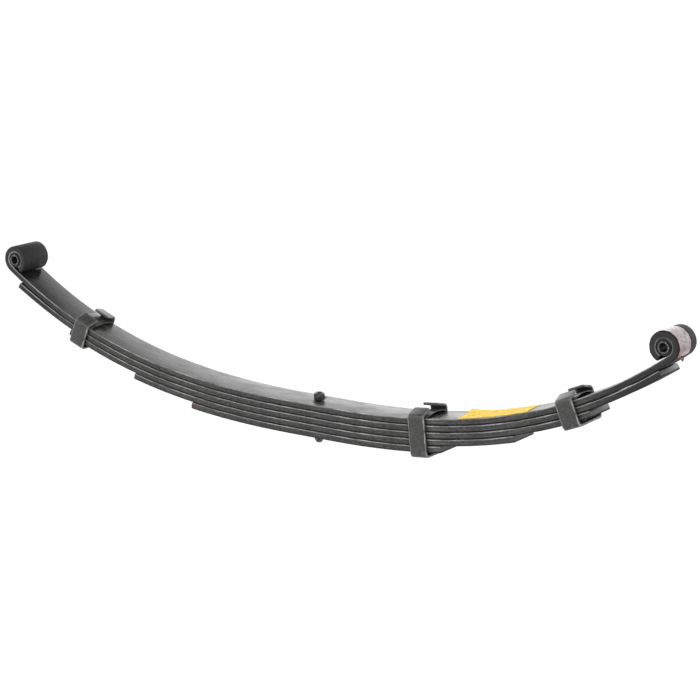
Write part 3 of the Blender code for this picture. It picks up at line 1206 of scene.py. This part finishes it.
@dataclass
class CentreBolt:
    """The bolt that holds the pack, its locating head below and its hex nut above."""

    thread_pitch: float = 0.0018
    thread_depth: float = 0.0008
    shank_radius: float = 0.0055
    head_radius: float = 0.0080
    head_end_radius: float = 0.0045
    head_rim: float = 0.0095
    nut_chamfer: float = 0.0009
    nut_end_inset: float = 0.985
    nut_corner_drop: float = 0.55

    def bolt(self) -> bpy.types.Object:
        """Turn the bolt, with rings for its thread above the leaves.

        Returns:
            The bolt.
        """
        low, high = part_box("centre_bolt")
        nut_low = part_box("centre_nut")[0].z
        head_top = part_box("fifth_leaf")[0].z - FIT_GAP
        corners = [
            (0.0, low.z),
            (self.head_end_radius, low.z),
            (self.head_radius, head_top - self.head_rim),
            (self.head_radius, head_top),
            (self.shank_radius, head_top),
            (self.shank_radius, nut_low - self.thread_pitch),
        ]
        profile = rounded_profile(corners, {1: 0.0012, 2: 0.0010, 3: 0.0006}, closed=False)
        height = nut_low - self.thread_pitch / 2
        while height < high.z - self.thread_pitch:
            profile.append((self.shank_radius - self.thread_depth, height))
            profile.append((self.shank_radius, height + self.thread_pitch / 2))
            height += self.thread_pitch
        profile.append((self.shank_radius - self.thread_depth, high.z - 0.0003))
        profile.append((self.shank_radius - self.thread_depth * 1.6, high.z))
        profile.append((0.0, high.z))
        return turned("centre_bolt_turned", profile, Matrix.Identity(4), 64)

    def nut(self) -> bpy.types.Object:
        """Make the hex nut: a hexagon whose corners are turned off at both ends, bored for the thread.

        Returns:
            The nut.
        """
        low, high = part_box("centre_nut")
        flats = (high.y - low.y) / 2
        corner = (high.x - low.x) / 2
        if corner < flats:
            flats, corner = corner, flats
        bore = self.shank_radius + FIT_GAP
        bm = bmesh.new()
        made = bmesh.ops.create_circle(bm, cap_ends=False, segments=96, radius=bore)
        ring = made["verts"]
        bmesh.ops.translate(bm, verts=ring, vec=(0.0, 0.0, low.z))
        spread = corner - bore
        stages = [
            (0.0006, low.z), (0.45, low.z), (1.0, low.z), (1.0, low.z + self.nut_chamfer),
            (1.0, high.z - self.nut_chamfer), (1.0, high.z), (0.45, high.z), (0.0006, high.z),
        ]
        first_edges = list(bm.edges)
        edges = first_edges
        for share, height in stages:
            out = bmesh.ops.extrude_edge_only(bm, edges=edges)
            verts = [item for item in out["geom"] if isinstance(item, bmesh.types.BMVert)]
            edges = [item for item in out["geom"] if isinstance(item, bmesh.types.BMEdge)]
            edges = [edge for edge in edges if edge.is_boundary]
            for vert in verts:
                angle = math.atan2(vert.co.y, vert.co.x)
                vert.co = self.nut_point(angle, bore, share, spread, height, flats, corner, low.z, high.z)
        bmesh.ops.bridge_loops(bm, edges=[*first_edges, *edges])
        bmesh.ops.recalc_face_normals(bm, faces=bm.faces)
        keep_stock_places(bm)
        return link("centre_nut_hex", bm, 25.0)

    def nut_point(self, angle: float, bore: float, share: float, spread: float, height: float,
                  flats: float, corner: float, low: float, high: float) -> Vector:
        """Find a point of the nut's section.

        Args:
            angle: Direction from the bolt's axis.
            bore: Radius of the bore.
            share: 0 at the bore, 1 at the outside.
            spread: Width from bore to corner.
            height: Height of this ring.
            flats: Half the size across the flats.
            corner: Half the size across the corners.
            low: Foot of the nut.
            high: Top of the nut.

        Returns:
            The point.
        """
        sixth = math.pi / 3
        off_flat = (angle + sixth / 2) % sixth - sixth / 2
        hexagon = min(flats / math.cos(off_flat), corner)
        radius = bore + spread * share
        if share == 1.0:
            end = abs(height - low) < 1e-7 or abs(height - high) < 1e-7
            radius = min(hexagon, flats * self.nut_end_inset) if end else hexagon
            if not end:
                excess = max(0.0, hexagon - flats) * self.nut_corner_drop
                height += -excess if height > (low + high) / 2 else excess
        return Vector((radius * math.cos(angle), radius * math.sin(angle), height))

    def build(self) -> None:
        """Make and dress the bolt and nut."""
        oxide = MetalFinish("oiled_black_oxide_steel", "#353536", "#8d8b88", 0.30).build()
        for obj, node in ((self.bolt(), "centre_bolt"), (self.nut(), "centre_nut")):
            obj.data.materials.append(oxide)
            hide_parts(node)
            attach(obj, "leaf_pack")
            LOG.info("made %s, %d faces", obj.name, len(obj.data.polygons))


# ---------------------------------------------------------------- bushes


@dataclass
class EyeBush:
    """Rubber bush and steel inner sleeve in one eye."""

    side: Side
    line: SpringLine
    sleeve_bore: float = 0.00715
    sleeve_outer: float = 0.0099
    rib_depth: float = 0.0009
    chamfer: float = 0.0006

    def place(self) -> Matrix:
        """Local Z on the eye's axis, at its middle."""
        low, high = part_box(f"{self.side.label}_inner_sleeve")
        return Matrix.Translation((low + high) / 2) @ Matrix.Rotation(math.radians(90), 4, "X")

    def sleeve(self) -> bpy.types.Object:
        """Turn the inner sleeve.

        Returns:
            The sleeve.
        """
        low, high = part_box(f"{self.side.label}_inner_sleeve")
        half = (high.y - low.y) / 2
        corners = [
            (self.sleeve_bore, half), (self.sleeve_outer, half),
            (self.sleeve_outer, -half), (self.sleeve_bore, -half),
        ]
        profile = rounded_profile(corners, {i: self.chamfer for i in range(4)}, closed=True)
        return turned(f"{self.side.label}_inner_sleeve_tube", profile, self.place(), 72)

    def rubber(self) -> bpy.types.Object:
        """Turn the rubber, with a raised lip, a groove and a rounded outer shoulder on each face.

        Returns:
            The bush.
        """
        low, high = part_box(f"{self.side.label}_rubber_bush")
        half = (high.y - low.y) / 2
        inner = self.sleeve_outer + FIT_GAP
        outer = self.line.eye_inner_radius - FIT_GAP
        span = outer - inner
        sunk = half - 2 * self.rib_depth
        face = [
            (inner, sunk),
            (inner + span * 0.30, sunk),
            (inner + span * 0.38, half),
            (inner + span * 0.58, half),
            (inner + span * 0.68, sunk),
            (outer, sunk),
        ]
        corners = face + [(radius, -height) for radius, height in reversed(face)]
        radii = {2: 0.0003, 3: 0.0003, 5: 0.0006, 6: 0.0006, 8: 0.0003, 9: 0.0003}
        profile = rounded_profile(corners, radii, closed=True)
        return turned(f"{self.side.label}_moulded_bush", profile, self.place(), 72)

    def build(self, steel: bpy.types.Material, rubber: bpy.types.Material) -> None:
        """Make and dress the bush.

        Args:
            steel: Finish of the sleeve.
            rubber: Finish of the bush.
        """
        sleeve = self.sleeve()
        sleeve.data.materials.append(steel)
        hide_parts(f"{self.side.label}_inner_sleeve")
        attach(sleeve, self.side.sleeve_body)
        bush = self.rubber()
        bush.data.materials.append(rubber)
        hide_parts(f"{self.side.label}_rubber_bush")
        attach(bush, self.side.end_body)
        LOG.info("made %s and %s", sleeve.name, bush.name)


# ---------------------------------------------------------------- label and tape


@dataclass
class LeafLabel:
    """Yellow label on the main leaf, a little askew, one corner coming away."""

    line: SpringLine
    span: tuple[float, float] = (0.292, 0.419)
    width: float = 0.0615
    skew: float = -0.0110
    lift_height: float = 0.0035
    peel_back: float = 0.62
    peel_side: float = 0.22
    ripple_per_m: tuple[float, float] = (55, 40)
    ripple_height: float = 0.00018
    thickness: float = 0.0003

    def build(self) -> None:
        """Make and dress the label."""
        length = self.span[1] - self.span[0]
        bm = bmesh.new()
        bmesh.ops.create_grid(bm, x_segments=48, y_segments=24, size=0.5)
        bmesh.ops.scale(bm, vec=(length, self.width, 1.0), verts=bm.verts)
        keep_stock_places(bm)

        def place(co: Vector) -> Vector:
            """Lay the sheet on the leaf, with its far corner by the clip peeled up.

            Args:
                co: Place on the straight stock.

            Returns:
                Its place on the leaf.
            """
            back = co.y / self.width + 0.5
            x = (self.span[0] + self.span[1]) / 2 + co.x + self.skew * back
            far = max(0.0, back - self.peel_back) / (1 - self.peel_back)
            corner = far * max(0.0, -co.x / length - self.peel_side) / (0.5 - self.peel_side)
            along, across = self.ripple_per_m
            ripple = noise.noise(Vector((co.x * along, co.y * across, 0.0))) * self.ripple_height
            height = FIT_GAP + 0.0003 + max(ripple, -0.0002) + self.lift_height * corner**1.5
            return self.line.on_leaf(x, co.y, height)

        bend(bm, place)
        label = link("yellow_vinyl_label", bm, 60.0)
        thicken(label, self.thickness, 1.0)
        label.data.materials.append(LabelVinyl().build())
        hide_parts("yellow_label")
        self.line.flex(label, Side.RIGHT)
        LOG.info("made %s", label.name)


@dataclass
class EyeTape:
    """Packing tape wound round the right eye, crinkled at its front edge, with a frayed tail."""

    line: SpringLine
    leaf_thickness: float = 0.0109
    gap: float = 0.0004
    near_edge: float = -0.02925
    far_edge: float = 0.00925
    arc: tuple[float, float] = (math.radians(20), math.radians(292))
    crinkle: float = 0.0007
    thickness: float = 0.00025
    tail_length: float = 0.020
    tail_drop: float = 0.009
    tail_width: float = 0.008
    tail_twist: float = 2.2
    tail_taper: float = 0.45
    tail_bow: float = 0.002
    tail_lump: float = 0.0011
    edge_wander: float = 0.0012

    def wrap(self) -> bpy.types.Object:
        """Make the wound band.

        Returns:
            The band.
        """
        radius = self.line.eye_inner_radius + self.leaf_thickness + self.gap
        length = (self.arc[1] - self.arc[0]) * radius
        width = self.far_edge - self.near_edge
        bm = bmesh.new()
        bmesh.ops.create_grid(bm, x_segments=150, y_segments=56, size=0.5)
        bmesh.ops.scale(bm, vec=(length, width, 1.0), verts=bm.verts)
        keep_stock_places(bm)

        def place(co: Vector) -> Vector:
            """Wind the band, with creases that fade away from its near edge.

            Args:
                co: Place on the straight stock.

            Returns:
                Its place round the eye.
            """
            angle = self.arc[0] + (co.x / length + 0.5) * (self.arc[1] - self.arc[0])
            near = 0.5 - co.y / width
            crease = noise.turbulence(Vector((co.x * 190, co.y * 110, 0.0)), 3, True)
            height = 0.0002 + self.crinkle * crease * (0.25 + 0.75 * near**2)
            wander = noise.noise(Vector((co.x * 120, 3.0, 0.0))) * self.edge_wander * near
            across = (self.near_edge + self.far_edge) / 2 + co.y + wander
            return self.line.round_eye(Side.RIGHT, angle, radius + height, across)

        bend(bm, place)
        tape = link("packing_tape_band", bm, 60.0)
        thicken(tape, self.thickness, 1.0)
        return tape

    def tail(self) -> bpy.types.Object:
        """Make the loose tail, gathered into a short twisted strip under the eye's outer side.

        Returns:
            The tail.
        """
        radius = self.line.eye_inner_radius + self.leaf_thickness + self.gap
        bm = bmesh.new()
        bmesh.ops.create_grid(bm, x_segments=44, y_segments=14, size=0.5)
        bmesh.ops.scale(bm, vec=(self.tail_length, self.tail_width, 1.0), verts=bm.verts)
        keep_stock_places(bm)
        start = self.line.round_eye(Side.RIGHT, self.arc[0] + 0.10, radius + 0.0004, self.near_edge + 0.004)
        _, outward, normal = self.line.eye_frame(Side.RIGHT)

        def place(co: Vector) -> Vector:
            """Hang the strip down the outer side, twisting as it goes.

            Args:
                co: Place on the straight stock.

            Returns:
                Its place in the air.
            """
            share = co.x / self.tail_length + 0.5
            twist = self.tail_twist * share
            lump = noise.noise(Vector((co.x * 260, co.y * 200, 5.0))) * self.tail_lump
            side = Vector((0.0, math.cos(twist), 0.0)) + outward * math.sin(twist)
            bow = self.tail_bow * math.sin(share * math.pi) + 0.001
            down = -normal * (self.tail_drop * share) + outward * bow
            return start + down + side * (co.y * (1 - self.tail_taper * share)) + outward * lump

        bend(bm, place)
        tail = link("packing_tape_tail", bm, 60.0)
        thicken(tail, self.thickness, -1.0)
        return tail

    def build(self) -> None:
        """Make and dress the tape."""
        film = PackingTape().build()
        band = self.wrap()
        band.data.materials.append(film)
        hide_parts("eye_tape")
        tail = self.tail()
        tail.data.materials.append(PackingTape("packing_tape_glue", clear="#2a2019", milky="#5d4636").build())
        for obj in (band, tail):
            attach(obj, Side.RIGHT.end_body)
            LOG.info("made %s", obj.name)


# ---------------------------------------------------------------- room


@dataclass
class Studio:
    """Pale floor, soft light from all round, and the camera."""

    azimuth: float = math.radians(33.88)
    elevation: float = math.radians(13.51)
    distance: float = 3.8223
    target: tuple[float, float, float] = (0.0618, 0.0, 0.1684)
    roll: float = math.radians(0.296)
    lens: float = 118.3
    floor_drop: float = 0.45
    wall_top: float = 0.45
    ceiling_start: float = 0.85
    wall_light: float = 2.05
    ceiling_light: float = 0.40

    def camera(self) -> None:
        """Place the camera."""
        sin_a, cos_a = math.sin(self.azimuth), math.cos(self.azimuth)
        sin_e, cos_e = math.sin(self.elevation), math.cos(self.elevation)
        back = Vector((sin_a * cos_e, -cos_a * cos_e, sin_e))
        level = Vector((cos_a, sin_a, 0.0))
        above = back.cross(level)
        right = level * math.cos(self.roll) + above * math.sin(self.roll)
        up = above * math.cos(self.roll) - level * math.sin(self.roll)
        data = bpy.data.cameras.new("camera")
        data.lens = self.lens
        data.sensor_width = 36.0
        data.clip_end = 60.0
        camera = bpy.data.objects.new("camera", data)
        bpy.context.scene.collection.objects.link(camera)
        turn = Matrix((right, up, back)).transposed().to_4x4()
        camera.matrix_world = Matrix.Translation(Vector(self.target) + back * self.distance) @ turn
        bpy.context.scene.camera = camera

    def floor(self) -> None:
        """Make the pale floor, well below the spring so that it throws no dark patch."""
        bm = bmesh.new()
        bmesh.ops.create_grid(bm, x_segments=2, y_segments=2, size=30.0)
        bmesh.ops.translate(bm, verts=bm.verts, vec=(0.0, 0.0, -self.floor_drop))
        floor = link("floor", bm)
        material, tree, shader = new_material("matt_white_paper")
        grain = add_node(tree, "TexNoise", {"Scale": 40.0})
        shades = {0: grain, 6: linear("#f7f7f7"), 7: linear("#f9f9f9")}
        tone = add_node(tree, "Mix", shades, MIXED, **COLOURS)
        feed(shader, {"Base Color": tone, "Roughness": 0.9, "Specular IOR Level": 0.0})
        floor.data.materials.append(material)

    def area(
        self, name: str, place: tuple[float, float, float], size: tuple[float, float], power: float
    ) -> None:
        """Add one soft box aimed at the spring.

        Args:
            name: Name of the light.
            place: Where it stands.
            size: Its width and height.
            power: Its power in watts.
        """
        data = bpy.data.lights.new(name, "AREA")
        data.shape = "RECTANGLE"
        data.size, data.size_y = size
        data.energy = power
        lamp = bpy.data.objects.new(name, data)
        bpy.context.scene.collection.objects.link(lamp)
        aim = Vector(self.target) - Vector(place)
        lamp.matrix_world = Matrix.Translation(place) @ aim.to_track_quat("-Z", "Y").to_matrix().to_4x4()

    def light(self) -> None:
        """Light the room evenly, with one soft box for shape."""
        world = bpy.data.worlds.new("studio")
        world.use_nodes = True
        tree = world.node_tree
        direction = add_node(tree, "TexCoord", out="Generated")
        height = add_node(tree, "SeparateXYZ", {"Vector": direction}, "Z")
        fade = {0: height, 1: self.wall_top, 2: self.ceiling_start, 3: self.wall_light, 4: self.ceiling_light}
        strength = add_node(tree, "MapRange", fade, **SMOOTH)
        feed(tree.nodes["Background"], {"Color": linear("#ffffff"), "Strength": strength})
        bpy.context.scene.world = world
        bpy.context.scene.view_settings.view_transform = "Standard"
        self.area("near_box", (-1.4, -2.4, 2.2), (1.2, 0.5), 14.0)

    def build(self) -> None:
        """Set up the room."""
        self.camera()
        self.floor()
        self.light()


# ---------------------------------------------------------------- assembly


def main() -> None:
    """Build the spring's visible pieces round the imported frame."""
    logging.basicConfig(level=logging.INFO, format="%(name)s: %(message)s")
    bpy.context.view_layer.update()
    line = SpringLine()
    LeafPack(line).build()
    strap_paint = StrapPaint("satin_black_strap_paint").build()
    for name, x, held in (("left_clip", -0.490, 3), ("middle_clip", 0.2155, 5), ("right_clip", 0.486, 3)):
        ReboundClip(name, x, held, line).build(strap_paint)
    CentreBolt().build()
    sleeve_steel = MetalFinish("grey_phosphated_steel_tube", "#48484a", "#a5a5a6", 0.38).build()
    rubber = MouldedRubber().build()
    for side in Side:
        EyeBush(side, line).build(sleeve_steel, rubber)
    LeafLabel(line).build()
    EyeTape(line).build()
    Studio().build()


if __name__ == "__main__":
    main()
